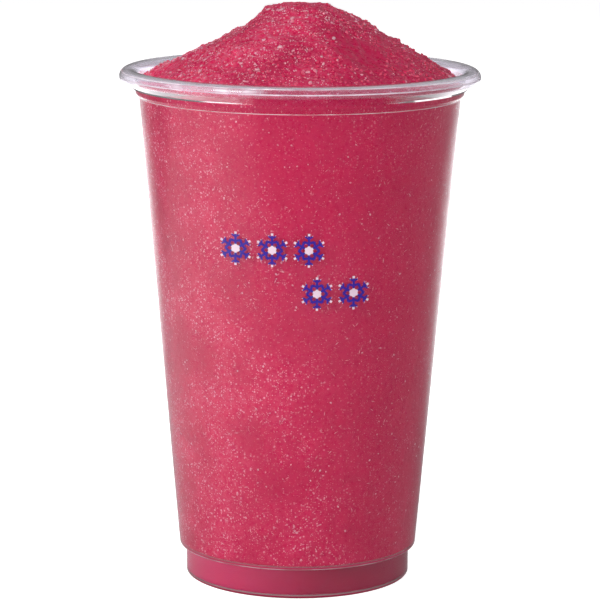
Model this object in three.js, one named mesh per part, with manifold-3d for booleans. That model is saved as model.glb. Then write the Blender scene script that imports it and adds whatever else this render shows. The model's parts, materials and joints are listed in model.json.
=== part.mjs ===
// A clear plastic drinks cup, filled with frozen slush that is heaped above its rim.
//
// The cup is one moulded piece: a foot, a tapered wall, a stacking collar and a rim rolled outwards.
// Inside it are the syrup that has drained into the foot, the packed slush above it, and the heap on top.
// Millimetres, +Z up. The origin is the centre of the plane that the cup stands on.
import * as THREE from "three";
import { mergeVertices } from "three/addons/utils/BufferGeometryUtils.js";
import Module from "manifold-3d";

const wasm = await Module();
wasm.setup();

// Driving dimensions
const CUP_HEIGHT = 136;
const RIM_RADIUS = 47.5;
const WALL = 0.7;
const FOOT_RADIUS = 29.9;
const FOOT_HEIGHT = 8;
const BODY_BOTTOM_RADIUS = 31.75;
const BODY_TOP_RADIUS = 42.3;
const COLLAR_BOTTOM = 128.4;
const COLLAR_RADIUS = 43.4;
const FIT_GAP = 0.3; // what the filling keeps clear of the cup, and its layers of each other

// The rolled rim: half an oval over the top, then a straight tail that runs back in under it
const ROLL_HEIGHT = 4.3;
const ROLL_REACH = (RIM_RADIUS - COLLAR_RADIUS + WALL) / 2;
const ROLL_RADIUS = RIM_RADIUS - ROLL_REACH;
const ROLL_LEVEL = CUP_HEIGHT - ROLL_HEIGHT / 2;
const ROLL_TAIL = -45; // degrees below the rim's widest point where the tail leaves the oval
const TAIL_END = { r: 44.2, z: 130.4, slope: 40 }; // its free edge, just clear of the collar

// The base plate stands a little above the ring that the cup rests on.
const BASE = { recess: 0.8, thickness: 0.9, ringWidth: 2.4, ringBlend: 0.8 };
const FLOOR = BASE.recess + BASE.thickness;
const CORNER = 0.6; // rounding of the foot and of the wall's lower end
const COLLAR_STEP = 1.2; // height over which the wall widens to the collar
const COLLAR_TAPER = 0.2; // how much narrower the collar is at its lower end
const FILL_TOP = 131.5;

// How finely the round shapes are faceted
const AROUND = 64;
const ROLL_STEPS = 10;
const CORNER_STEPS = 3;
const HEAP_RINGS = 18;

// The small stub that the mould leaves on the front of the rolled rim
const STUB = { x: -0.5, width: 0.9, depth: 1, height: 1.3, stand: 0.25 };

// The heap is a cone with a blunted tip. The tip is where its two sides would meet.
const TIP_HEIGHT = 158.5;
const HEAP_SLOPE = 0.6;
const TIP_CUT = 5.4; // how far the blunted summit stays below the tip
const BLUNTING = 4; // how sharply the summit turns into the sides
const LUMPS = [
  { x: -14.5, y: 0.5, reach: 8.5, lift: -4.2 },
  { x: -9.5, y: -2, reach: 6, lift: 2.9 },
  { x: -26, y: 5, reach: 6, lift: -2.2 },
  { x: 16, y: -21, reach: 7, lift: -1.2 },
  { x: -12, y: -22, reach: 8, lift: 0.8 },
  { x: -8, y: 22, reach: 9, lift: 1 },
];

const CLEAR = { color: 0xf2eef6, roughness: 0.06, metalness: 0 };
const SYRUP = { color: 0xa8123c, roughness: 0.1, metalness: 0 };
const SLUSH = { color: 0xc22d5c, roughness: 0.55, metalness: 0 };
const HEAP = { color: 0xcc3a68, roughness: 0.6, metalness: 0 };

const slushCup = new THREE.Group();

function addPiece(name, geometry, look) {
  const mesh = new THREE.Mesh(geometry, new THREE.MeshStandardMaterial(look));
  mesh.name = name;
  slushCup.add(mesh);
}

// A point of an outline: distance from the axis, and height.
function at(r, z) {
  return new THREE.Vector2(r, z);
}

// Turns an outline about the vertical axis.
function revolve(outline) {
  return new THREE.LatheGeometry(outline, AROUND).rotateX(Math.PI / 2);
}

// Points along an oval about (r, z), between two angles in degrees.
function ovalArc(r, z, reach, rise, from, to, steps) {
  const points = [];
  for (let i = 0; i <= steps; i++) {
    const angle = THREE.MathUtils.degToRad(THREE.MathUtils.lerp(from, to, i / steps));
    points.push(at(r + reach * Math.cos(angle), z + rise * Math.sin(angle)));
  }
  return points;
}

// A quarter turn from facing down to facing outwards.
function roundedCorner(r, z) {
  return ovalArc(r - CORNER, z + CORNER, CORNER, CORNER, -90, 0, CORNER_STEPS);
}

// The rolled rim, from the wall's outer face, round its free edge and back to the wall's inner face.
function rollOutline() {
  const slope = THREE.MathUtils.degToRad(TAIL_END.slope);
  const rise = ROLL_HEIGHT / 2;
  return [
    ...ovalArc(ROLL_RADIUS, ROLL_LEVEL, ROLL_REACH - WALL, rise - WALL, 180, ROLL_TAIL, ROLL_STEPS),
    at(TAIL_END.r - WALL * Math.sin(slope), TAIL_END.z + WALL * Math.cos(slope)),
    at(TAIL_END.r, TAIL_END.z),
    ...ovalArc(ROLL_RADIUS, ROLL_LEVEL, ROLL_REACH, rise, ROLL_TAIL, 180, ROLL_STEPS),
  ];
}

// The cup's whole wall as one closed outline, from the axis below the base round to the axis above it.
function cupOutline() {
  const ledge = FOOT_HEIGHT + WALL;
  const ring = FOOT_RADIUS - CORNER - BASE.ringWidth;
  const footInner = FOOT_RADIUS - WALL;
  const bodyInner = BODY_BOTTOM_RADIUS - WALL;
  const collarLow = COLLAR_RADIUS - COLLAR_TAPER;
  return [
    at(0, BASE.recess),
    at(ring - BASE.ringBlend, BASE.recess),
    at(ring, 0),
    ...roundedCorner(FOOT_RADIUS, 0),
    at(FOOT_RADIUS, FOOT_HEIGHT),
    ...roundedCorner(BODY_BOTTOM_RADIUS, FOOT_HEIGHT),
    at(BODY_TOP_RADIUS, COLLAR_BOTTOM),
    at(collarLow, COLLAR_BOTTOM + COLLAR_STEP),
    ...rollOutline(),
    at(collarLow - WALL, COLLAR_BOTTOM + COLLAR_STEP),
    at(BODY_TOP_RADIUS - WALL, COLLAR_BOTTOM),
    at(bodyInner, ledge + CORNER),
    at(bodyInner - CORNER, ledge),
    at(footInner, ledge),
    at(footInner, FLOOR + CORNER),
    at(footInner - CORNER, FLOOR),
    at(0, FLOOR),
  ];
}

// A closed mesh as a solid for joining: position only, with its shared corners merged.
function solidOf(geometry) {
  const bare = geometry.clone();
  bare.deleteAttribute("normal");
  bare.deleteAttribute("uv");
  const merged = mergeVertices(bare, 1e-4);
  const mesh = new wasm.Mesh({
    numProp: 3,
    vertProperties: merged.attributes.position.array,
    triVerts: new Uint32Array(merged.index.array),
  });
  return new wasm.Manifold(mesh);
}

function geometryOf(solid) {
  const { vertProperties, triVerts } = solid.getMesh();
  return new THREE.BufferGeometry()
    .setAttribute("position", new THREE.BufferAttribute(vertProperties, 3))
    .setIndex(new THREE.BufferAttribute(triVerts, 1));
}

// The cup, with the mould's stub joined to the front of its rim.
function makeCup() {
  const stub = new THREE.SphereGeometry(0.5, 10, 6);
  stub.scale(STUB.width, STUB.depth, STUB.height);
  stub.translate(STUB.x, STUB.depth / 2 - STUB.stand - RIM_RADIUS, ROLL_LEVEL - STUB.height / 2);
  const wall = solidOf(revolve(cupOutline()));
  addPiece("cup", geometryOf(wall.add(solidOf(stub))), CLEAR);
}

// Liquid syrup in the foot, from the floor to the ledge inside the wall's lower end.
function makeSyrup() {
  const radius = FOOT_RADIUS - WALL - FIT_GAP;
  const low = FLOOR + FIT_GAP;
  const high = FOOT_HEIGHT + WALL;
  const outline = [
    at(0, low),
    at(radius - CORNER, low),
    at(radius, low + CORNER),
    at(radius, high),
    at(0, high),
  ];
  addPiece("drained_syrup", revolve(outline), SYRUP);
}

// Slush packed against the wall, from the syrup up to the collar.
function makeFill() {
  const inset = WALL + FIT_GAP;
  const low = FOOT_HEIGHT + inset;
  const collarInner = COLLAR_RADIUS - COLLAR_TAPER - inset;
  const outline = [
    at(0, low),
    at(BODY_BOTTOM_RADIUS - inset - CORNER, low),
    at(BODY_BOTTOM_RADIUS - inset, low + CORNER),
    at(BODY_TOP_RADIUS - inset, COLLAR_BOTTOM),
    at(collarInner, COLLAR_BOTTOM + COLLAR_STEP),
    at(collarInner, FILL_TOP),
    at(0, FILL_TOP),
  ];
  addPiece("packed_slush", revolve(outline), SLUSH);
}

// The height of the heap's surface over a point of the cup's mouth.
function heapSurface(x, y) {
  const below = (HEAP_SLOPE * Math.hypot(x, y)) ** BLUNTING + TIP_CUT ** BLUNTING;
  const lumps = LUMPS.map((lump) => {
    const away = Math.hypot(x - lump.x, y - lump.y) / lump.reach;
    return lump.lift * Math.exp(-(away ** 2));
  });
  return lumps.reduce((sum, lift) => sum + lift, TIP_HEIGHT - below ** (1 / BLUNTING));
}

// The heap above the rim: a disc whose upper face is raised to the heap's surface.
function makeHeap() {
  const radius = COLLAR_RADIUS - COLLAR_TAPER - WALL - FIT_GAP;
  const low = FILL_TOP + FIT_GAP;
  const high = CUP_HEIGHT;
  const outline = [at(0, low), at(radius, low)];
  for (let ring = 0; ring <= HEAP_RINGS; ring++) {
    outline.push(at(radius * (1 - ring / HEAP_RINGS), high));
  }
  const heap = revolve(outline);
  const place = heap.getAttribute("position");
  for (let i = 0; i < place.count; i++) {
    if (place.getZ(i) > (low + high) / 2) {
      place.setZ(i, heapSurface(place.getX(i), place.getY(i)));
    }
  }
  addPiece("slush_heap", heap, HEAP);
}

makeCup();
makeSyrup();
makeFill();
makeHeap();

export default slushCup;
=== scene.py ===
import json
import math

import bpy
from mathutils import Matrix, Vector

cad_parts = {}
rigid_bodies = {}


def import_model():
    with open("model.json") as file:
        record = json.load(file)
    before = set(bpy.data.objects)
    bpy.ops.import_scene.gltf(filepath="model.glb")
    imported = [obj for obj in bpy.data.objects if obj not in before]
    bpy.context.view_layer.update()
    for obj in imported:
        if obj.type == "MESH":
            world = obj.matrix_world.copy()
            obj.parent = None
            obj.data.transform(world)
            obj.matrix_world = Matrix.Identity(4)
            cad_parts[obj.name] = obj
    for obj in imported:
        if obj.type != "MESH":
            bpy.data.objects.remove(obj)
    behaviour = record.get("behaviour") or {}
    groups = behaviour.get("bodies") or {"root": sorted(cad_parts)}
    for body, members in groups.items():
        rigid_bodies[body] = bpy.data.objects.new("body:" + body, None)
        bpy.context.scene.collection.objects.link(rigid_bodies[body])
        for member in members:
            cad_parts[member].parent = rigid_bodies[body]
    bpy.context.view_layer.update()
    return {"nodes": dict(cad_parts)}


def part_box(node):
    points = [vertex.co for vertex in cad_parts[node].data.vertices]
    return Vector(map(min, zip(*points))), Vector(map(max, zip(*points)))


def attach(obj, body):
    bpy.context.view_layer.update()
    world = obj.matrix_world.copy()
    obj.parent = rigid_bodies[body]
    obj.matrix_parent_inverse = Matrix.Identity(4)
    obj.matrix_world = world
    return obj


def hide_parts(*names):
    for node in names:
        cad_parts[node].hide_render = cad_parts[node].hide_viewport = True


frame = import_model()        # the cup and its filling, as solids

mm = 0.001

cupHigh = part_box("cup")[1]
syrupLow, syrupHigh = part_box("drained_syrup")
packedLow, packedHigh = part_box("packed_slush")
heapLow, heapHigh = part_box("slush_heap")


# Working helpers

def clearSelection():
    for obj in bpy.context.view_layer.objects:
        obj.select_set(False)


def pickOnly(obj):
    clearSelection()
    obj.select_set(True)
    bpy.context.view_layer.objects.active = obj


def nameActive(name):
    obj = bpy.context.active_object
    obj.name = name
    obj.data.name = name
    return obj


def settle(obj):  # puts the object's place into its mesh
    pickOnly(obj)
    bpy.ops.object.transform_apply(location=True, rotation=True, scale=True)


def applyModifiers(obj):
    pickOnly(obj)
    for modifier in list(obj.modifiers):
        bpy.ops.object.modifier_apply(modifier=modifier.name)


def selectWhere(obj, domain, test):  # in edit mode; test is given a vertex, edge or face
    bpy.ops.mesh.select_mode(type={"vertices": "VERT", "edges": "EDGE", "polygons": "FACE"}[domain])
    bpy.ops.mesh.select_all(action="DESELECT")
    bpy.ops.object.mode_set(mode="OBJECT")
    for element in getattr(obj.data, domain):
        element.select = test(element)
    bpy.ops.object.mode_set(mode="EDIT")


def curveOf(centreR, centreZ, reach, rise, start, stop, steps):  # points along part of an oval
    turns = [math.radians(start + (stop - start) * i / steps) for i in range(steps + 1)]
    return [(centreR + reach * math.cos(t), centreZ + rise * math.sin(t)) for t in turns]


def lineOf(start, stop, steps, lead=0.3):  # a straight run, with a close ring at each end
    length = math.dist(start, stop)
    shares = [i / steps for i in range(1, steps)]
    shares = [lead / length] + shares + [1 - lead / length]
    return [tuple(a + (b - a) * s for a, b in zip(start, stop)) for s in shares]


def pullRings(outline):  # grows the selected ring through (radius, height) points, in mm
    radius, height = outline[0]
    for nextRadius, nextHeight in outline[1:]:
        bpy.ops.mesh.extrude_region_move(
            TRANSFORM_OT_translate={"value": (0, 0, (nextHeight - height) * mm)})
        k = nextRadius / radius
        bpy.ops.transform.resize(value=(k, k, 1), center_override=(0, 0, nextHeight * mm))
        radius, height = nextRadius, nextHeight


def turnedPiece(name, outline, around, closed):  # a round piece, raised ring by ring
    clearSelection()
    radius, height = outline[0]
    bpy.ops.mesh.primitive_circle_add(
        vertices=around, radius=radius * mm, fill_type="TRIFAN", location=(0, 0, height * mm))
    piece = nameActive(name)
    settle(piece)
    bpy.ops.object.mode_set(mode="EDIT")
    bpy.ops.mesh.select_mode(type="VERT")
    bpy.ops.mesh.select_all(action="DESELECT")
    bpy.ops.mesh.select_non_manifold()
    pullRings(outline)
    if closed:
        bpy.ops.mesh.merge(type="CENTER")
    bpy.ops.mesh.select_all(action="SELECT")
    bpy.ops.mesh.remove_doubles(threshold=0.001 * mm)
    bpy.ops.mesh.normals_make_consistent(inside=False)
    bpy.ops.object.mode_set(mode="OBJECT")
    if min(piece.data.polygons, key=lambda f: f.center.z).normal.z > 0:  # its underside faces down
        bpy.ops.object.mode_set(mode="EDIT")
        bpy.ops.mesh.flip_normals()
        bpy.ops.object.mode_set(mode="OBJECT")
    return piece


def displace(obj, name, group, kind, size, strength, middle):  # size and strength in mm
    texture = bpy.data.textures.new(name, type=kind)
    texture.noise_scale = size * mm
    modifier = obj.modifiers.new(name, "DISPLACE")
    modifier.texture = texture
    modifier.texture_coords = "LOCAL"
    modifier.strength = strength * mm
    modifier.mid_level = middle
    modifier.vertex_group = group


def finishPiece(piece, slot, *nodes):
    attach(piece, "root")
    if nodes:
        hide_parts(*nodes)
    print(piece.name, "has", sum(len(f.vertices) - 2 for f in piece.data.polygons), "triangles")


def startMaterial(name):
    material = bpy.data.materials.new(name)
    material.use_nodes = True
    tree = material.node_tree
    place = tree.nodes.new("ShaderNodeTexCoord")
    return material, tree, tree.nodes["Principled BSDF"], place.outputs["Object"]


def noiseOf(tree, place, size, detail=2.0, roughness=0.5, stretch=None):  # size in mm
    noise = tree.nodes.new("ShaderNodeTexNoise")
    noise.inputs["Scale"].default_value = 1 / (size * mm)
    noise.inputs["Detail"].default_value = detail
    noise.inputs["Roughness"].default_value = roughness
    if stretch:
        mapping = tree.nodes.new("ShaderNodeMapping")
        mapping.inputs["Scale"].default_value = stretch
        tree.links.new(place, mapping.inputs["Vector"])
        place = mapping.outputs["Vector"]
    tree.links.new(place, noise.inputs["Vector"])
    return noise.outputs["Fac"]


def cellsOf(tree, place, size, output="Distance"):  # size in mm
    cells = tree.nodes.new("ShaderNodeTexVoronoi")
    cells.inputs["Scale"].default_value = 1 / (size * mm)
    tree.links.new(place, cells.inputs["Vector"])
    return cells.outputs[output]


def rangeOf(tree, value, fromLow, fromHigh, toLow=0.0, toHigh=1.0):  # with soft ends
    node = tree.nodes.new("ShaderNodeMapRange")
    node.interpolation_type = "SMOOTHSTEP"
    node.inputs["From Min"].default_value = fromLow
    node.inputs["From Max"].default_value = fromHigh
    node.inputs["To Min"].default_value = toLow
    node.inputs["To Max"].default_value = toHigh
    tree.links.new(value, node.inputs["Value"])
    return node.outputs["Result"]


def mathOf(tree, first, second, kind="MULTIPLY"):  # each a number or a socket
    node = tree.nodes.new("ShaderNodeMath")
    node.operation = kind
    for socket, value in zip(node.inputs, (first, second)):
        if isinstance(value, (int, float)):
            socket.default_value = value
        else:
            tree.links.new(value, socket)
    return node.outputs[0]


def awayOf(tree, split, x=0, y=0):  # distance from an upright line at (x, y) in mm
    squares = []
    for axis, middle in (("X", x), ("Y", y)):
        off = mathOf(tree, split.outputs[axis], middle * mm, "SUBTRACT")
        squares.append(mathOf(tree, off, 2, "POWER"))
    return mathOf(tree, mathOf(tree, *squares, "ADD"), 0.5, "POWER")


def spanOf(tree, value, low, high, blur):  # 1 between two values in mm, fading to 0 outside them
    rising = rangeOf(tree, value, (low - blur) * mm, low * mm)
    falling = rangeOf(tree, value, (high + blur) * mm, high * mm)
    return mathOf(tree, rising, falling)


def bareOf(tree, split, value, spots, core):  # the value, fading to 0 in spots given as x, y and reach
    for x, y, reach in spots:
        away = awayOf(tree, split, x, y)
        value = mathOf(tree, value, rangeOf(tree, away, reach * core * mm, reach * mm))
    return value


def splitOf(tree, place):
    split = tree.nodes.new("ShaderNodeSeparateXYZ")
    tree.links.new(place, split.inputs["Vector"])
    return split


def blendOf(tree, share, first, second):  # of two colours, each as three numbers or as a socket
    node = tree.nodes.new("ShaderNodeMix")
    node.data_type = "RGBA"
    for socket, value in zip((node.inputs["Factor"], node.inputs["A"], node.inputs["B"]),
                             (share, first, second)):
        if hasattr(value, "node"):
            tree.links.new(value, socket)
        elif isinstance(value, (int, float)):
            socket.default_value = value
        else:
            socket.default_value = (*value, 1)
    return node.outputs["Result"]


def bumpOf(tree, shader, height, strength, depth):  # depth in mm
    bump = tree.nodes.new("ShaderNodeBump")
    bump.inputs["Strength"].default_value = strength
    bump.inputs["Distance"].default_value = depth * mm
    tree.links.new(height, bump.inputs["Height"])
    tree.links.new(bump.outputs["Normal"], shader.inputs["Normal"])


# The camera, the floor and the lights
view = {
    "distance": 771.3 * mm,      # from the cup's axis
    "height": 216.2 * mm,        # above the surface that it stands on
    "aim": Vector((0.32, 0, 73.85)) * mm,
    "lens": 176.6,               # mm, as is the sensor
    "sensor": 36,
    "roll": 0.0059,              # radians about the line of sight
    "clip": (0.05, 30),
}


def makeCamera():
    bpy.ops.object.camera_add(location=(0, -view["distance"], view["height"]))
    camera = bpy.context.active_object
    camera.name = "studioCamera"
    look = view["aim"] - camera.location
    camera.rotation_euler = look.to_track_quat("-Z", "Y").to_euler()
    camera.rotation_euler.rotate_axis("Z", view["roll"])
    camera.data.lens = view["lens"]
    camera.data.sensor_width = view["sensor"]
    camera.data.clip_start, camera.data.clip_end = view["clip"]
    bpy.context.scene.camera = camera
    print("camera is set")


studio = {
    "floorRadius": 6.0,
    "floorDrop": 0.02 * mm,      # how far it lies below the foot
    "floorColour": (0.60, 0.59, 0.60),
    "floorGlow": (0.85, 0.5),    # keeps it white to the eye and through clear plastic, not in reflections
    "worldColour": (1.0, 0.97, 0.99),
    "worldStrength": 0.22,
    "worldThrough": (0.52, 1.35),    # what clear plastic shows of it: behind the cup, and at its sides
    "worldSides": (0.15, 0.7),   # how far sideways the one turns into the other
    "panels": {  # place, aim, width and height in metres, watts
        "keyLight": ((-0.86, -0.80, 0.8), (0, 0, 0.05), 0.5, 0.5, 7.5),
        "topLight": ((-0.1, -0.5, 1.0), (0, 0, 0.12), 1.5, 0.22, 1.4),
        "rightLight": ((0.95, 0.25, 0.6), (0, 0, 0.07), 0.9, 0.9, 2.9),
        "backLight": ((0.2, 1.2, 0.9), (0, 0, 0.1), 0.8, 0.6, 5.0),
        "lowLight": ((0.06, -0.3, 0.085), (0, 0, 0.072), 0.2, 0.05, 0.25),
    },
    "spots": {  # place above the table, watts, cone in degrees
        "leftSpot": ((-0.36, -0.08, 1.8), 270.0, 24.0),
        "backSpot": ((0.0, 0.62, 1.9), 330.0, 32.0),
    },
    "spotRadius": 0.05,
    "hidden": ("lowLight", "backLight"),    # not mirrored in the cup
}


def seenThrough(tree, rays):  # 1 for what is looked at through the clear plastic
    straight = mathOf(tree, rays.outputs["Diffuse Depth"], 0.5, "LESS_THAN")
    entered = mathOf(tree, rays.outputs["Transmission Depth"], 0.5, "GREATER_THAN")
    return mathOf(tree, entered, straight)


def makeFloor():
    clearSelection()
    bpy.ops.mesh.primitive_circle_add(
        vertices=96, radius=studio["floorRadius"], fill_type="NGON",
        location=(0, 0, -studio["floorDrop"]))
    floor = nameActive("studioFloor")
    settle(floor)
    material, tree, shader, place = startMaterial("paleFloor")
    mottle = noiseOf(tree, place, 400, 3)
    shade = [c * 0.985 for c in studio["floorColour"]]
    tree.links.new(blendOf(tree, mottle, studio["floorColour"], shade), shader.inputs["Base Color"])
    shader.inputs["Roughness"].default_value = 0.8
    shader.inputs["Specular IOR Level"].default_value = 0.1
    rays = tree.nodes.new("ShaderNodeLightPath")
    seen = mathOf(tree, rays.outputs["Is Camera Ray"], studio["floorGlow"][0])
    through = mathOf(tree, seenThrough(tree, rays), studio["floorGlow"][1])
    glow = mathOf(tree, seen, through, "ADD")
    shader.inputs["Emission Color"].default_value = (1, 1, 1, 1)
    tree.links.new(glow, shader.inputs["Emission Strength"])
    floor.data.materials.append(material)


def makeWorld():
    world = bpy.data.worlds.new("studioWorld")
    world.use_nodes = True
    tree = world.node_tree
    backdrop = tree.nodes["Background"]
    rays = tree.nodes.new("ShaderNodeLightPath")
    toSky = tree.nodes.new("ShaderNodeTexCoord").outputs["Generated"]
    sideways = mathOf(tree, splitOf(tree, toSky).outputs["X"], 0, "ABSOLUTE")
    behind, beside = studio["worldThrough"]
    plain = studio["worldStrength"]
    through = rangeOf(tree, sideways, *studio["worldSides"], behind - plain, beside - plain)
    through = mathOf(tree, through, seenThrough(tree, rays))
    seen = mathOf(tree, rays.outputs["Is Camera Ray"], 1 - plain)    # plain white to the eye
    glow = mathOf(tree, mathOf(tree, seen, through, "ADD"), plain, "ADD")
    tree.links.new(glow, backdrop.inputs["Strength"])
    backdrop.inputs["Color"].default_value = (*studio["worldColour"], 1)
    bpy.context.scene.world = world
    print("world is set")


def addLight(kind, name, place, power):
    bpy.ops.object.light_add(type=kind, location=place)
    light = bpy.context.active_object
    light.name = name
    light.data.energy = power
    light.visible_transmission = False    # seen through the rim it would be a broad white band
    return light


def makeLights():
    for name, (place, aim, width, height, power) in studio["panels"].items():
        light = addLight("AREA", name, place, power)
        light.data.shape = "RECTANGLE"
        light.data.size = width
        light.data.size_y = height
        light.rotation_euler = (Vector(aim) - Vector(place)).to_track_quat("-Z", "Y").to_euler()
        light.visible_camera = False
        light.visible_glossy = name not in studio["hidden"]
    for name, (place, power, cone) in studio["spots"].items():
        light = addLight("SPOT", name, place, power)
        light.data.spot_size = math.radians(cone)
        light.data.spot_blend = 1.0
        light.data.shadow_soft_size = studio["spotRadius"]
    bpy.context.scene.view_settings.view_transform = "Standard"
    print("floor and lights are in place")


# The clear cup: a foot, a tapered wall, a collar and a rolled rim
cup = {  # mm
    "around": 256,               # points in a ring
    "wall": 0.7,
    "corner": 0.6,               # rounding of the foot and of the wall's lower end
    "footRadius": syrupHigh.x / mm + 1.0,
    "footHeight": 8.0,
    "recess": 0.8,               # the base plate's height over the ring that carries the cup
    "bodyRadius": 31.75,         # where the taper begins, just over the foot
    "bodyTopRadius": 42.3,
    "bodyTop": 128.4,
    "collarRadius": packedHigh.x / mm + 1.2,
    "collarStep": 1.2,           # the height over which the wall widens to the collar
    "collarTaper": 0.2,
    "rimRadius": cupHigh.x / mm - 0.004,
    "rimTop": cupHigh.z / mm,
    "rimHeight": 4.3,
    "tailEnd": (44.2, 130.4),    # radius and height of the rim's free edge
    "tailWeight": 0.3,           # how thin the wall has been drawn there
    "thinning": (0.5, 2.1),      # from the thinnest wall to the full one, above the free edge
    "wetLine": packedHigh.z / mm + 1.4,
    "stub": {"place": (-0.5, -47.245, 133.5), "size": (0.9, 1.0, 1.2)},
}


def cupOutline():  # the wall's outer face, from under the base to the rim's free edge
    wall, corner, low = cup["wall"], cup["corner"], cup["footHeight"]
    foot, body = cup["footRadius"], cup["bodyRadius"]
    bodyTop = (cup["bodyTopRadius"], cup["bodyTop"])
    collarLow = (cup["collarRadius"] - cup["collarTaper"], cup["bodyTop"] + cup["collarStep"])
    reach = (cup["rimRadius"] - cup["collarRadius"] + wall) / 2
    rollR, rollZ = cup["rimRadius"] - reach, cup["rimTop"] - cup["rimHeight"] / 2
    tailR, tailZ = cup["tailEnd"]
    outline = [(foot - 4.2, cup["recess"]), (foot - 3.8, cup["recess"] - 0.02)]
    outline += curveOf(foot - 2.6, 0.55, 0.6, 0.55, 180, 270, 5)               # down to the ring
    outline += curveOf(foot - corner, corner, corner, corner, -90, 0, 6)
    outline += lineOf((foot, corner), (foot, low - 0.3), 5)
    outline += curveOf(foot + 0.3, low - 0.3, 0.3, 0.3, 180, 90, 4)            # out under the wall
    outline += curveOf(body - corner, low + corner, corner, corner, -90, -4, 6)
    outline += lineOf((body, low + 0.7), bodyTop, 28)
    outline += curveOf(bodyTop[0] + 0.5, bodyTop[1], 0.5, 0.5, 180, 118, 3)[1:]    # out to the collar
    outline += curveOf(collarLow[0] - 0.35, collarLow[1] - 0.05, 0.35, 0.35, -50, 0, 4)
    outline += lineOf(collarLow, (cup["collarRadius"], rollZ), 4)
    outline += curveOf(rollR, rollZ, reach - wall, cup["rimHeight"] / 2 - wall, 180, -45, 26)
    start, stop = outline[-1], (tailR - 0.45, tailZ + 0.54)
    outline += lineOf(start, stop, 3, 0.2) + [stop]
    return outline


plastic = {
    "clear": ((0.985, 0.975, 0.985), (0.965, 0.95, 0.97)),
    "rim": (0.87, 0.85, 0.92),       # the rolled rim is looked through several times
    "ior": 1.43,
    "shadow": (0.97, 0.96, 0.97),    # what it lets through of the lamps, so that they reach the slush
    # the colour of the painted highlights
    "highlightColour": (1.0, 0.88, 0.97),
    "paintedHighlights": {  # painted highlights: white bands painted along the bends in place of reflected light, and a broad painted highlight on the rim's front left: height, half width, least radius, left and right ends, how white
        "foot": (8.32, 0.2, 31.0, -60, 60, 0.8),
        "collar": (128.5, 0.16, 42.0, -60, 60, 0.7),
        "nose": (133.9, 0.24, 46.0, -60, 60, 0.75),
        "crest": (135.25, 0.2, 46.0, -60, 60, 1.0),
        "shoulder": (134.5, 1.1, 45.0, -30, -13, 0.5),
    },
    "clinging": (-10, 20),           # between these the rim's thin free edge can't be seen
    "shadeCovers": {  # painted light: syrup colour painted on the plastic's thick corners to hide the shade seen through them: full, none, how strongly, colour
        # dark crimson painted over the black of the shaded floor under the ring
        "base": (0.5, 1.3, 0.85, (0.42, 0.010, 0.065)),
        # a lit slush colour painted over the shaded syrup under the step
        "step": (8.75, 9.4, 0.5, (0.72, 0.045, 0.16)),
    },
}


def paintedHighlightsOf(tree, split, out):  # painted highlights: how white the plastic is painted along its bends
    paintedHighlights = 0
    for level, width, least, left, right, white in plastic["paintedHighlights"].values():
        line = spanOf(tree, split.outputs["Z"], level, level, width)
        line = mathOf(tree, line, mathOf(tree, out, least * mm, "GREATER_THAN"))
        line = mathOf(tree, line, spanOf(tree, split.outputs["X"], left, right, 6))
        paintedHighlights = mathOf(tree, paintedHighlights, mathOf(tree, line, white), "MAXIMUM")
    return paintedHighlights


def shadeCoversOf(tree, height, tint):  # how much the painted syrup colour hides of the shade seen behind, and the tint with it
    hidden = 0
    for full, none, share, colour in plastic["shadeCovers"].values():
        band = rangeOf(tree, height, none * mm, full * mm)
        band = mathOf(tree, band, rangeOf(tree, height, (full - 0.9) * mm, (full - 0.3) * mm))
        hidden = mathOf(tree, hidden, mathOf(tree, band, share), "MAXIMUM")
        tint = blendOf(tree, band, tint, colour)
    return hidden, tint


def featherOf(tree, split, out):  # 1 where the rim's free edge fades out
    tailZ = cup["tailEnd"][1]
    feather = rangeOf(tree, split.outputs["Z"], (tailZ + 3.1) * mm, (tailZ + 2.3) * mm)
    beyond = mathOf(tree, out, (cup["collarRadius"] + 0.35) * mm, "GREATER_THAN")
    feather = mathOf(tree, feather, beyond)
    return mathOf(tree, feather, spanOf(tree, split.outputs["X"], *plastic["clinging"], 8))


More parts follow.
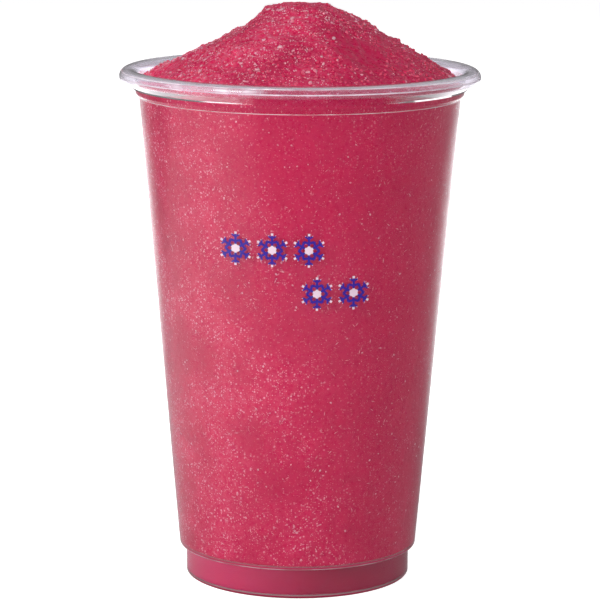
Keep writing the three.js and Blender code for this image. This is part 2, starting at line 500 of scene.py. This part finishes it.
def clearPlastic():
    material, tree, shader, place = startMaterial("clearPlastic")
    split = splitOf(tree, place)
    height = split.outputs["Z"]
    out = awayOf(tree, split)
    streaks = noiseOf(tree, place, 7, 3, stretch=(1, 1, 0.12))   # faint, as drawn in the mould
    # painted highlights along the bends, broken up by a noise; where they lie, the plastic is painted white
    # instead of clear
    broken = rangeOf(tree, noiseOf(tree, place, 6, 3), 0.34, 0.6, 0.45, 1)
    paintedHighlights = mathOf(tree, paintedHighlightsOf(tree, split, out), broken)
    tailZ = cup["tailEnd"][1]
    onRim = rangeOf(tree, height, (tailZ + 0.6) * mm, (tailZ + 2.6) * mm)
    tint = blendOf(tree, onRim, blendOf(tree, streaks, *plastic["clear"]), plastic["rim"])
    # the syrup colour that is painted over the shade seen through the corners
    shadeCovers, tint = shadeCoversOf(tree, height, tint)
    # the painted highlights, and the syrup colour painted over shade at the corners, take the place of
    # clearness
    opaque = mathOf(tree, paintedHighlights, shadeCovers, "MAXIMUM")
    tree.links.new(mathOf(tree, 1, opaque, "SUBTRACT"), shader.inputs["Transmission Weight"])
    tree.links.new(blendOf(tree, paintedHighlights, tint, plastic["highlightColour"]), shader.inputs["Base Color"])
    tree.links.new(rangeOf(tree, streaks, 0.3, 0.75, 0.04, 0.1), shader.inputs["Roughness"])
    bumpOf(tree, shader, noiseOf(tree, place, 9, 1, stretch=(1, 1, 0.3)), 0.1, 0.25)
    shader.inputs["IOR"].default_value = plastic["ior"]
    rays = tree.nodes.new("ShaderNodeLightPath")
    clear = tree.nodes.new("ShaderNodeBsdfTransparent")
    clear.inputs["Color"].default_value = (*plastic["shadow"], 1)
    mix = tree.nodes.new("ShaderNodeMixShader")
    feather = featherOf(tree, split, out)
    tree.links.new(mathOf(tree, rays.outputs["Is Shadow Ray"], feather, "MAXIMUM"), mix.inputs["Fac"])
    tree.links.new(shader.outputs["BSDF"], mix.inputs[1])
    tree.links.new(clear.outputs["BSDF"], mix.inputs[2])
    tree.links.new(mix.outputs["Shader"], tree.nodes["Material Output"].inputs["Surface"])
    return material


def wettedPlastic():  # the inner face where syrup clings to it, so that it neither bends nor mirrors light
    material, tree, shader, place = startMaterial("wettedPlastic")
    clear = tree.nodes.new("ShaderNodeBsdfTransparent")
    film = noiseOf(tree, place, 5, 2)
    tree.links.new(blendOf(tree, film, (1.0, 0.985, 0.99), (0.96, 0.93, 0.95)), clear.inputs["Color"])
    tree.links.new(clear.outputs["BSDF"], tree.nodes["Material Output"].inputs["Surface"])
    tree.nodes.remove(shader)
    return material


def joinStub(shell):  # what the mould's gate leaves on the rim's front
    clearSelection()
    bpy.ops.mesh.primitive_uv_sphere_add(segments=20, ring_count=12, radius=0.5 * mm)
    stub = nameActive("stub")
    stub.scale = cup["stub"]["size"]
    stub.location = Vector(cup["stub"]["place"]) * mm
    settle(stub)
    stub.data.materials.append(shell.data.materials[0])
    pickOnly(shell)
    union = shell.modifiers.new("stub", "BOOLEAN")
    union.operation = "UNION"
    union.object = stub
    applyModifiers(shell)
    bpy.data.objects.remove(stub)


def thinTail(shell):  # a group that gives the wall its thickness
    drawn = shell.vertex_groups.new(name="drawn")
    start, stop = cup["thinning"]
    for v in shell.data.vertices:
        out, up = math.hypot(v.co.x, v.co.y) / mm, v.co.z / mm - cup["tailEnd"][1]
        onTail = up < stop and out > cup["collarRadius"] + 0.1
        share = max(0, (up - start) / (stop - start)) if onTail else 1
        drawn.add([v.index], cup["tailWeight"] + (1 - cup["tailWeight"]) * share, "REPLACE")


def makeCup():
    shell = turnedPiece("cupShell", cupOutline(), cup["around"], False)
    thinTail(shell)
    thick = shell.modifiers.new("wall", "SOLIDIFY")
    thick.thickness = cup["wall"] * mm
    thick.offset = -1
    thick.use_even_offset = True
    thick.material_offset = 1    # the inner face is wetted
    thick.vertex_group = "drawn"
    shell.data.materials.append(clearPlastic())
    shell.data.materials.append(wettedPlastic())
    applyModifiers(shell)
    for face in shell.data.polygons:
        if face.center.z > cup["wetLine"] * mm:
            face.material_index = 0
    joinStub(shell)
    pickOnly(shell)
    bpy.ops.object.shade_smooth_by_angle(angle=math.radians(40))
    finishPiece(shell, "cup", "cup")
    return shell


# The filling: packed against the wall, drained into the foot, and heaped above the rim
slush = {
    "glow": (1.0, 0.22, 0.30),   # how far each colour travels in the ice
    "glowReach": 0.9,            # mm
    "patchSize": 14,
    "mottleSize": 1.1,
    "mottle": (0.42, 0.68),      # where the mottling turns frosty
    "wall": {  # the border of the painted shade: where the frosty patches give way to deeper red on the right, and how far that border slants
        "deep": (0.57, 0.006, 0.082),
        "red": (0.70, 0.011, 0.108),
        "pink": (0.78, 0.11, 0.23),
        "pale": (0.92, 0.56, 0.66),
        "frost": 0.42,
        "specks": 0.5,
        "few": 0.66,
        "shadeBorder": (-16, 14, 0.2),
        # what is left of the frosty patches in the painted shade on the right
        "right": 0.22,
        "bare": (),
    },
    "heap": {
        "deep": (0.54, 0.010, 0.078),
        "red": (0.84, 0.028, 0.126),
        "pink": (0.80, 0.14, 0.26),
        "pale": (0.94, 0.58, 0.68),
        "frost": 0.8,
        "specks": 0.6,
        "few": 0.70,
        # painted light and shade: the heap is frosty on its upper left and deeper red to its right
        "shadeBorder": (-86, -50, -0.8),
        # what is left of the frosty patches in the painted shade on the right
        "right": 0.15,
        "bare": ((16, -21, 9),),
    },
}


def shadeBorderOf(tree, split, shadeBorder, right):  # painted shade: 1 on the lit left, falling to `right` past a slanting border
    start, stop, slant = shadeBorder
    across = mathOf(tree, mathOf(tree, split.outputs["Z"], 50 * mm, "SUBTRACT"), slant)
    across = mathOf(tree, split.outputs["X"], across, "ADD")
    return rangeOf(tree, across, start * mm, stop * mm, 1, right)


def glowOf(shader, weight, reach):  # light that spreads under the surface; reach in mm
    shader.inputs["Subsurface Weight"].default_value = weight
    shader.inputs["Subsurface Radius"].default_value = slush["glow"]
    shader.inputs["Subsurface Scale"].default_value = reach * mm


def slushMaterial(name, look):
    material, tree, shader, place = startMaterial(name)
    split = splitOf(tree, place)
    patches = rangeOf(tree, noiseOf(tree, place, slush["patchSize"], 3, 0.55), 0.3, 0.72)
    # the frosty patches are the slush's own texture; painted shade makes them, and with them the pale frost
    # and specks, fall away to the right, leaving it deeper red
    patches = mathOf(tree, patches, shadeBorderOf(tree, split, look["shadeBorder"], look["right"]))
    patches = bareOf(tree, split, patches, look["bare"], 0.5)
    mottle = noiseOf(tree, place, slush["mottleSize"], 3, 0.6)
    colour = blendOf(tree, patches, look["deep"], look["red"])
    frosting = rangeOf(tree, mottle, *slush["mottle"])
    frosting = mathOf(tree, frosting, rangeOf(tree, patches, 0, 1, 0.15, 1))
    colour = blendOf(tree, mathOf(tree, frosting, look["frost"]), colour, look["pink"])
    for size, keep in ((look["specks"], look["few"]), (look["specks"] * 1.7, look["few"] + 0.08)):
        near = rangeOf(tree, cellsOf(tree, place, size), 0.4, 0.16)
        chance = tree.nodes.new("ShaderNodeSeparateColor")
        tree.links.new(cellsOf(tree, place, size, "Color"), chance.inputs["Color"])
        lit = rangeOf(tree, chance.outputs[0], keep, keep + 0.1)
        speck = mathOf(tree, mathOf(tree, near, lit), rangeOf(tree, patches, 0, 0.7, 0.15, 0.9))
        colour = blendOf(tree, speck, colour, look["pale"])
    tree.links.new(colour, shader.inputs["Base Color"])
    tree.links.new(rangeOf(tree, mottle, 0.3, 0.7, 0.22, 0.5), shader.inputs["Roughness"])
    bumpOf(tree, shader, mottle, 0.5, 0.3)
    glowOf(shader, 0.3, slush["glowReach"])
    shader.inputs["IOR"].default_value = 1.33
    return material


ices = {  # two colours, least and most roughness, glow
    "buriedIce": ((0.78, 0.20, 0.30), (0.90, 0.50, 0.58), 0.3, 0.6, 0.3),
    "wallIce": ((0.80, 0.30, 0.40), (0.92, 0.62, 0.68), 0.2, 0.5, 0.3),
    "syrupyIce": ((0.76, 0.04, 0.13), (0.84, 0.14, 0.24), 0.12, 0.35, 0.4),
    "clearIce": ((0.84, 0.26, 0.36), (0.92, 0.52, 0.60), 0.06, 0.2, 0.6),
    "frostedIce": ((0.84, 0.36, 0.46), (0.94, 0.7, 0.76), 0.15, 0.4, 0.2),
}


def iceMaterial(name):
    if name in bpy.data.materials:
        return bpy.data.materials[name]
    dark, light, least, most, glow = ices[name]
    material, tree, shader, place = startMaterial(name)
    cloud = noiseOf(tree, place, 2.2, 3, 0.6)
    tree.links.new(blendOf(tree, rangeOf(tree, cloud, 0.35, 0.65), dark, light), shader.inputs["Base Color"])
    tree.links.new(rangeOf(tree, cloud, 0.3, 0.7, least, most), shader.inputs["Roughness"])
    bumpOf(tree, shader, noiseOf(tree, place, 0.4, 2), 0.3, 0.08)
    glowOf(shader, glow, 0.5)
    shader.inputs["IOR"].default_value = 1.31
    return material


def iceShape(name, segments, rings, size, rough, seed):  # one crystal; size in mm on each axis
    clearSelection()
    bpy.ops.mesh.primitive_uv_sphere_add(segments=segments, ring_count=rings, radius=0.5 * mm)
    crystal = nameActive(name)
    crystal.scale = size
    settle(crystal)
    bpy.ops.object.mode_set(mode="EDIT")
    bpy.ops.mesh.select_all(action="SELECT")
    bpy.ops.transform.vertex_random(offset=rough * mm, uniform=1, seed=seed)
    bpy.ops.object.mode_set(mode="OBJECT")
    return crystal


def densityOf(tree, place, sowing):  # crystals per square metre
    split = splitOf(tree, place)
    patch = rangeOf(tree, noiseOf(tree, place, sowing["patchSize"], 2), *sowing["patch"])
    for level, edge in ((sowing["low"], 0.3), (sowing["high"], -0.3)):
        patch = mathOf(tree, patch, rangeOf(tree, split.outputs["Z"], level * mm, (level + edge) * mm))
    patch = bareOf(tree, split, patch, sowing["bare"], 0.6)
    # the crystals thin out to the right too, with the painted shade
    shadeBorder = shadeBorderOf(tree, split, sowing["shadeBorder"], sowing["right"])
    return mathOf(tree, mathOf(tree, patch, shadeBorder), sowing["density"] / mm ** 2)


def turnOf(tree, facing, sowing):  # lying on the surface, spun any way and tilted a little
    turn = tree.nodes.new("FunctionNodeRandomValue")
    turn.data_type = "FLOAT_VECTOR"
    tilt = sowing["tilt"]
    turn.inputs["Min"].default_value = (-tilt, -tilt, -math.pi)
    turn.inputs["Max"].default_value = (tilt, tilt, math.pi)
    turn.inputs["Seed"].default_value = sowing["seed"] + 2
    angle = tree.nodes.new("FunctionNodeEulerToRotation")
    spin = tree.nodes.new("FunctionNodeRotateRotation")
    spin.rotation_space = "LOCAL"
    tree.links.new(turn.outputs["Value"], angle.inputs["Euler"])
    tree.links.new(facing, spin.inputs["Rotation"])
    tree.links.new(angle.outputs["Rotation"], spin.inputs["Rotate By"])
    return spin.outputs["Rotation"]


def sow(host, name, sowing):  # copies of one crystal all over a surface
    crystal = iceShape(name + "Crystal", *sowing["crystal"])
    pickOnly(host)
    bpy.ops.object.duplicate()
    piece = nameActive(name)
    group = bpy.data.node_groups.new(name, "GeometryNodeTree")
    for way in ("INPUT", "OUTPUT"):
        group.interface.new_socket("Geometry", in_out=way, socket_type="NodeSocketGeometry")
    add, link = group.nodes.new, group.links.new
    surface, result = add("NodeGroupInput"), add("NodeGroupOutput")
    place = add("GeometryNodeInputPosition")
    points = add("GeometryNodeDistributePointsOnFaces")
    points.inputs["Seed"].default_value = sowing["seed"]
    link(surface.outputs["Geometry"], points.inputs["Mesh"])
    link(densityOf(group, place.outputs["Position"], sowing), points.inputs["Density"])
    chance = add("FunctionNodeRandomValue")
    chance.inputs["Seed"].default_value = sowing["seed"] + 1
    size = mathOf(group, chance.outputs["Value"], 2, "POWER")    # mostly small
    shape = add("GeometryNodeObjectInfo")
    shape.inputs["Object"].default_value = crystal
    copies = add("GeometryNodeInstanceOnPoints")
    link(shape.outputs["Geometry"], copies.inputs["Instance"])
    link(points.outputs["Points"], copies.inputs["Points"])
    link(turnOf(group, points.outputs["Rotation"], sowing), copies.inputs["Rotation"])
    link(rangeOf(group, size, 0, 1, *sowing["sizes"]), copies.inputs["Scale"])
    joined = add("GeometryNodeRealizeInstances")
    link(copies.outputs["Instances"], joined.inputs["Geometry"])
    link(joined.outputs["Geometry"], result.inputs["Geometry"])
    piece.modifiers.new(name, "NODES").node_group = group
    applyModifiers(piece)
    bpy.data.objects.remove(crystal)
    piece.data.materials.clear()
    piece.data.materials.append(iceMaterial(sowing["ice"]))
    for face in piece.data.polygons:
        face.material_index = 0
        face.use_smooth = sowing["smooth"]
    return piece


def sowAll(host, slot, area, sowings):
    pieces = [sow(host, name, area | sowing) for name, sowing in sowings.items()]
    for piece in pieces:
        finishPiece(piece, slot)


wallArea = {"low": 9.4, "high": 130.5, "shadeBorder": slush["wall"]["shadeBorder"], "bare": ()}
wallSowing = {  # crystal: its segments, rings, size in mm, roughness and seed; density: per square mm
    "fineIce": {
        "crystal": (3, 2, (0.26, 0.24, 0.10), 0.03, 3), "ice": "buriedIce", "smooth": False,
        "seed": 4, "density": 1.6, "sizes": (0.6, 1.5), "patchSize": 7, "patch": (0.3, 0.66),
        "right": 0.3, "tilt": 0.2,
    },
    "coarseIce": {
        "crystal": (6, 4, (0.42, 0.34, 0.12), 0.04, 8), "ice": "wallIce", "smooth": True,
        "seed": 11, "density": 0.3, "sizes": (0.5, 1.7), "patchSize": 10, "patch": (0.4, 0.7),
        "right": 0.4, "tilt": 0.15,
    },
    "iceNeedles": {
        "crystal": (4, 3, (0.14, 1.0, 0.10), 0.03, 5), "ice": "buriedIce", "smooth": True,
        "seed": 23, "density": 0.4, "sizes": (0.5, 1.6), "patchSize": 12, "patch": (0.4, 0.7),
        "right": 0.4, "tilt": 0.05,
    },
}


column = {
    "around": 320,
    "rise": 190,                 # rings in the tapered run
    "clearance": 0.12,           # from the cup's inner face
    "relief": {  # kind of pattern, its size and strength in mm, the level that stays in place
        "hollows": ("CLOUDS", 3.5, 0.5, 0.75),
        "cells": ("VORONOI", 1.6, -0.35, 0.0),
    },
}


def makeColumn():
    inset = cup["wall"] + column["clearance"]
    low = packedLow.z / mm - 0.15
    top = packedHigh.z / mm + 0.8
    body, bodyTop = cup["bodyRadius"] - inset, cup["bodyTopRadius"] - inset
    collar, corner = cup["collarRadius"] - cup["collarTaper"] - inset, cup["corner"]
    outline = [(body - 0.8, low)]
    outline += curveOf(body - corner, low + corner, corner, corner, -60, -4, 3)
    outline += [(bodyTop, cup["bodyTop"] + 0.3), (collar, cup["bodyTop"] + 1.3), (collar, top)]
    outline += [(collar * share, top) for share in (0.97, 0.6, 0.2)]
    piece = turnedPiece("packedSlush", outline, column["around"], True)
    bpy.ops.object.mode_set(mode="EDIT")
    verts = piece.data.vertices

    def isLong(edge):  # the tapered run, which is one ring so far
        a, b = (verts[i].co for i in edge.vertices)
        return abs(a.z - b.z) > 50 * mm

    selectWhere(piece, "edges", isLong)
    bpy.ops.mesh.subdivide(number_cuts=column["rise"])
    bpy.ops.object.mode_set(mode="OBJECT")
    side = piece.vertex_groups.new(name="side")
    bottom, brim = (low + 0.8) * mm, (top - 0.5) * mm
    side.add([v.index for v in verts if bottom < v.co.z < brim], 1, "ADD")
    for name, relief in column["relief"].items():
        displace(piece, name, "side", *relief)
    applyModifiers(piece)
    bpy.ops.object.shade_smooth_by_angle(angle=math.radians(60))
    piece.data.materials.append(slushMaterial("packedIce", slush["wall"]))
    sowAll(piece, "slush", wallArea, wallSowing)
    finishPiece(piece, "slush", "packed_slush")


syrup = {
    "around": 192,
    "clearance": 0.05,
    # painted shade: lit and shaded copies of the syrup's colour, paler on the left and darker on the right
    "left": ((0.70, 0.035, 0.165), (0.78, 0.05, 0.19)),
    "right": ((0.35, 0.007, 0.055), (0.41, 0.010, 0.068)),
    "shade": (-28, 9),           # mm across, from the painted lit colour to the painted shaded one
    "glow": (0.5, 2),            # weight, and reach in mm
}


def syrupMaterial():
    material, tree, shader, place = startMaterial("clearSyrup")
    swirl = noiseOf(tree, place, 9, 2)
    # painted shade: the syrup darkens from left to right across the foot
    start, stop = syrup["shade"]
    across = rangeOf(tree, splitOf(tree, place).outputs["X"], start * mm, stop * mm)
    near, far = (blendOf(tree, swirl, *syrup[side]) for side in ("left", "right"))
    tree.links.new(blendOf(tree, across, near, far), shader.inputs["Base Color"])
    tree.links.new(rangeOf(tree, swirl, 0.3, 0.7, 0.1, 0.2), shader.inputs["Roughness"])
    glowOf(shader, *syrup["glow"])
    shader.inputs["IOR"].default_value = 1.36
    return material


def makeSyrup():  # it fills the foot, and the trough inside the ring that the cup stands on
    gap = syrup["clearance"]
    foot = cup["footRadius"] - cup["wall"] - gap
    trough, floor = cup["wall"] + gap, cup["wall"] + cup["recess"] + gap
    high = packedLow.z / mm + 0.2
    outline = [(foot - 3.6, floor), (foot - 3.0, floor - 0.1), (foot - 2.3, trough), (foot - 0.5, trough)]
    outline += curveOf(foot - 0.4, trough + 0.4, 0.4, 0.4, -70, 0, 5)
    outline += lineOf((foot, trough + 0.4), (foot, high), 4) + [(foot, high), (foot - 0.4, high), (2, high)]
    piece = turnedPiece("drainedSyrup", outline, syrup["around"], True)
    bpy.ops.object.shade_smooth_by_angle(angle=math.radians(50))
    piece.data.materials.append(syrupMaterial())
    finishPiece(piece, "syrup", "drained_syrup")


heapArea = {
    "low": 132.6,
    "high": heapHigh.z / mm - 0.5,
    "shadeBorder": slush["heap"]["shadeBorder"],
    "bare": ((16, -21, 8), (-36, -8, 7)),
}
heapSowing = {
    "heapGrains": {
        "crystal": (6, 4, (1.1, 0.95, 0.6), 0.1, 14), "ice": "syrupyIce", "smooth": True,
        "seed": 31, "density": 0.5, "sizes": (0.4, 1.1), "patchSize": 6, "patch": (0.3, 0.62),
        "right": 1.2, "tilt": 0.5,
    },
    "heapPearls": {
        "crystal": (8, 5, (1.2, 0.85, 0.6), 0.08, 15), "ice": "clearIce", "smooth": True,
        "seed": 42, "density": 0.16, "sizes": (0.6, 1.3), "patchSize": 8, "patch": (0.42, 0.66),
        "right": 0.5, "tilt": 0.4,
    },
    "heapFrost": {
        "crystal": (4, 2, (0.3, 0.24, 0.2), 0.04, 16), "ice": "frostedIce", "smooth": False,
        "seed": 53, "density": 2.4, "sizes": (0.5, 1.5), "patchSize": 5, "patch": (0.36, 0.64),
        "right": 0.25, "tilt": 0.6,
    },
}
heap = {
    "grid": 0.37,                # mm between the surface's points
    "calm": (0.25, 2.5),         # least share of the relief, at the wall; mm over which it grows to full
    "relief": {  # as in the column
        "drifts": ("CLOUDS", 6.0, 1.6, 0.62),
        "clumps": ("VORONOI", 2.4, -0.55, 0.35),
        "grains": ("VORONOI", 1.05, -0.3, 0.35),
    },
}


def makeHeap():
    piece = bpy.data.objects.new("slushHeap", frame["nodes"]["slush_heap"].data.copy())
    bpy.context.scene.collection.objects.link(piece)
    pickOnly(piece)
    piece.data.materials.clear()
    bpy.ops.object.mode_set(mode="EDIT")
    bpy.ops.mesh.select_all(action="SELECT")
    bpy.ops.mesh.remove_doubles(threshold=0.01 * mm)
    bpy.ops.object.mode_set(mode="OBJECT")
    remesh = piece.modifiers.new("evenGrid", "REMESH")
    remesh.mode = "VOXEL"
    remesh.voxel_size = heap["grid"] * mm
    applyModifiers(piece)
    bpy.ops.object.mode_set(mode="EDIT")
    bpy.ops.mesh.select_mode(type="FACE")
    low = heapLow.z + 0.4 * mm    # its flat underside needs few faces
    selectWhere(piece, "polygons", lambda f: f.center.z < low and f.normal.z < -0.9)
    bpy.ops.mesh.dissolve_faces()
    bpy.ops.object.mode_set(mode="OBJECT")
    upper = piece.vertex_groups.new(name="upper")
    edge = heapHigh.x - 0.4 * mm
    least, run = heap["calm"]
    for v in piece.data.vertices:
        out = math.hypot(v.co.x, v.co.y)
        if v.co.z > low + 0.6 * mm:
            upper.add([v.index], min(1, max(least, (edge - out) / (run * mm))), "REPLACE")
    for name, relief in heap["relief"].items():
        displace(piece, name, "upper", *relief)
    applyModifiers(piece)
    bpy.ops.object.shade_smooth_by_angle(angle=math.radians(80))
    piece.data.materials.append(slushMaterial("heapedIce", slush["heap"]))
    sowAll(piece, "heap", heapArea, heapSowing)
    finishPiece(piece, "heap", "slush_heap")


# A pattern of snowflakes, printed on the wall's front
flakes = {
    "places": ((-16.1, 93.7), (-6.8, 93.7), (2.5, 93.7), (4.6, 82.4), (13.9, 82.4)),
    "heart": 1.05,               # mm, the radius of the hexagon in the middle
    "blank": 1.0,                # mm, the thickness of what a flake is cut from
    "arm": 0.55,                 # how wide an arm is against the hexagon's side
    "steps": (0.75, 0.6, 0.7, 0.5, 0.75),      # from the hexagon out; the second and fourth bear branches
    "branches": (0.85, 0.6),
    "sweep": 1.14,               # how far the branches lean outwards
    "flare": 1.04,               # how much wider the arms are at their tips
    "palePart": (1.1, 3.7),      # pale inside the first radius and outside the second
    "inks": {  # each with its worn shade
        "blueInk": ((0.022, 0.003, 0.30), (0.035, 0.006, 0.34)),
        "paleInk": ((0.90, 0.70, 0.82), (0.84, 0.64, 0.76)),
    },
    "inkDepth": 0.05,
    "inkGap": 0.02,              # from the wall
}


def inkMaterial(name, colour, worn):
    material, tree, shader, place = startMaterial(name)
    tone = noiseOf(tree, place, 1.8, 3)
    tree.links.new(blendOf(tree, tone, colour, worn), shader.inputs["Base Color"])
    tree.links.new(rangeOf(tree, tone, 0.3, 0.7, 0.3, 0.45), shader.inputs["Roughness"])
    bumpOf(tree, shader, noiseOf(tree, place, 0.3, 2), 0.15, 0.02)
    return material


def isFlank(face, low, high):  # the side of an arm, between two distances from the middle
    out = math.hypot(face.center.x, face.center.z)
    across = abs(face.center.x * face.normal.x + face.center.z * face.normal.z) / out
    return abs(face.normal.y) < 0.5 and across < 0.5 and low < out < high


def modelFlake():
    clearSelection()
    bpy.ops.mesh.primitive_cylinder_add(
        vertices=6, radius=flakes["heart"] * mm, depth=flakes["blank"] * mm,
        rotation=(math.pi / 2, math.pi / 6, 0))
    flake = nameActive("snowflake")
    settle(flake)
    for name, shades in flakes["inks"].items():
        flake.data.materials.append(inkMaterial(name, *shades))
    bpy.ops.object.mode_set(mode="EDIT")
    selectWhere(flake, "polygons", lambda f: abs(f.normal.y) < 0.5)
    side = (1 - flakes["arm"]) / 2 * flakes["heart"]
    bpy.ops.mesh.inset(thickness=side * mm, use_individual=True)
    reach = flakes["heart"] * math.cos(math.pi / 6)
    roots = []
    for i, step in enumerate(flakes["steps"]):
        bpy.ops.mesh.extrude_faces_move(TRANSFORM_OT_shrink_fatten={"value": step * mm})
        if i % 2:
            roots.append((reach, reach + step))
        reach += step
    k = flakes["flare"]
    bpy.ops.transform.resize(value=(k, 1, k), center_override=(0, 0, 0))
    for (low, high), grow in zip(roots, flakes["branches"]):
        selectWhere(flake, "polygons", lambda f: isFlank(f, low * mm, high * mm))
        bpy.ops.mesh.extrude_faces_move(TRANSFORM_OT_shrink_fatten={"value": grow * mm})
        k = flakes["sweep"]
        bpy.ops.transform.resize(value=(k, 1, k), center_override=(0, 0, 0))
    selectWhere(flake, "polygons", lambda f: f.normal.y > -0.9)
    bpy.ops.mesh.delete(type="FACE")
    bpy.ops.mesh.select_all(action="SELECT")
    bpy.ops.mesh.subdivide(number_cuts=2)
    bpy.ops.object.mode_set(mode="OBJECT")
    inner, outer = flakes["palePart"]
    for face in flake.data.polygons:
        out = math.hypot(face.center.x, face.center.z) / mm
        face.material_index = 0 if inner < out < outer else 1
    return flake


def makePrint(shell):
    flake = modelFlake()
    copies = []
    for x, z in flakes["places"]:
        pickOnly(flake)
        bpy.ops.object.duplicate()
        copy = bpy.context.active_object
        copy.location = (x * mm, -(cup["rimRadius"] + flakes["blank"]) * mm, z * mm)
        settle(copy)
        copies.append(copy)
    bpy.data.objects.remove(flake)
    clearSelection()
    for copy in copies:
        copy.select_set(True)
    bpy.context.view_layer.objects.active = copies[0]
    bpy.ops.object.join()
    piece = nameActive("frontPrint")
    wrap = piece.modifiers.new("wrap", "SHRINKWRAP")
    wrap.target = shell
    wrap.wrap_method = "PROJECT"
    wrap.use_project_y = True
    wrap.use_positive_direction = True
    wrap.use_negative_direction = False
    wrap.offset = flakes["inkGap"] * mm
    ink = piece.modifiers.new("ink", "SOLIDIFY")
    ink.thickness = flakes["inkDepth"] * mm
    ink.offset = 1
    applyModifiers(piece)
    finishPiece(piece, "cup")


makeCamera()
makeFloor()
makeWorld()
makeLights()
shell = makeCup()
makePrint(shell)
makeSyrup()
makeColumn()
makeHeap()

clearSelection()
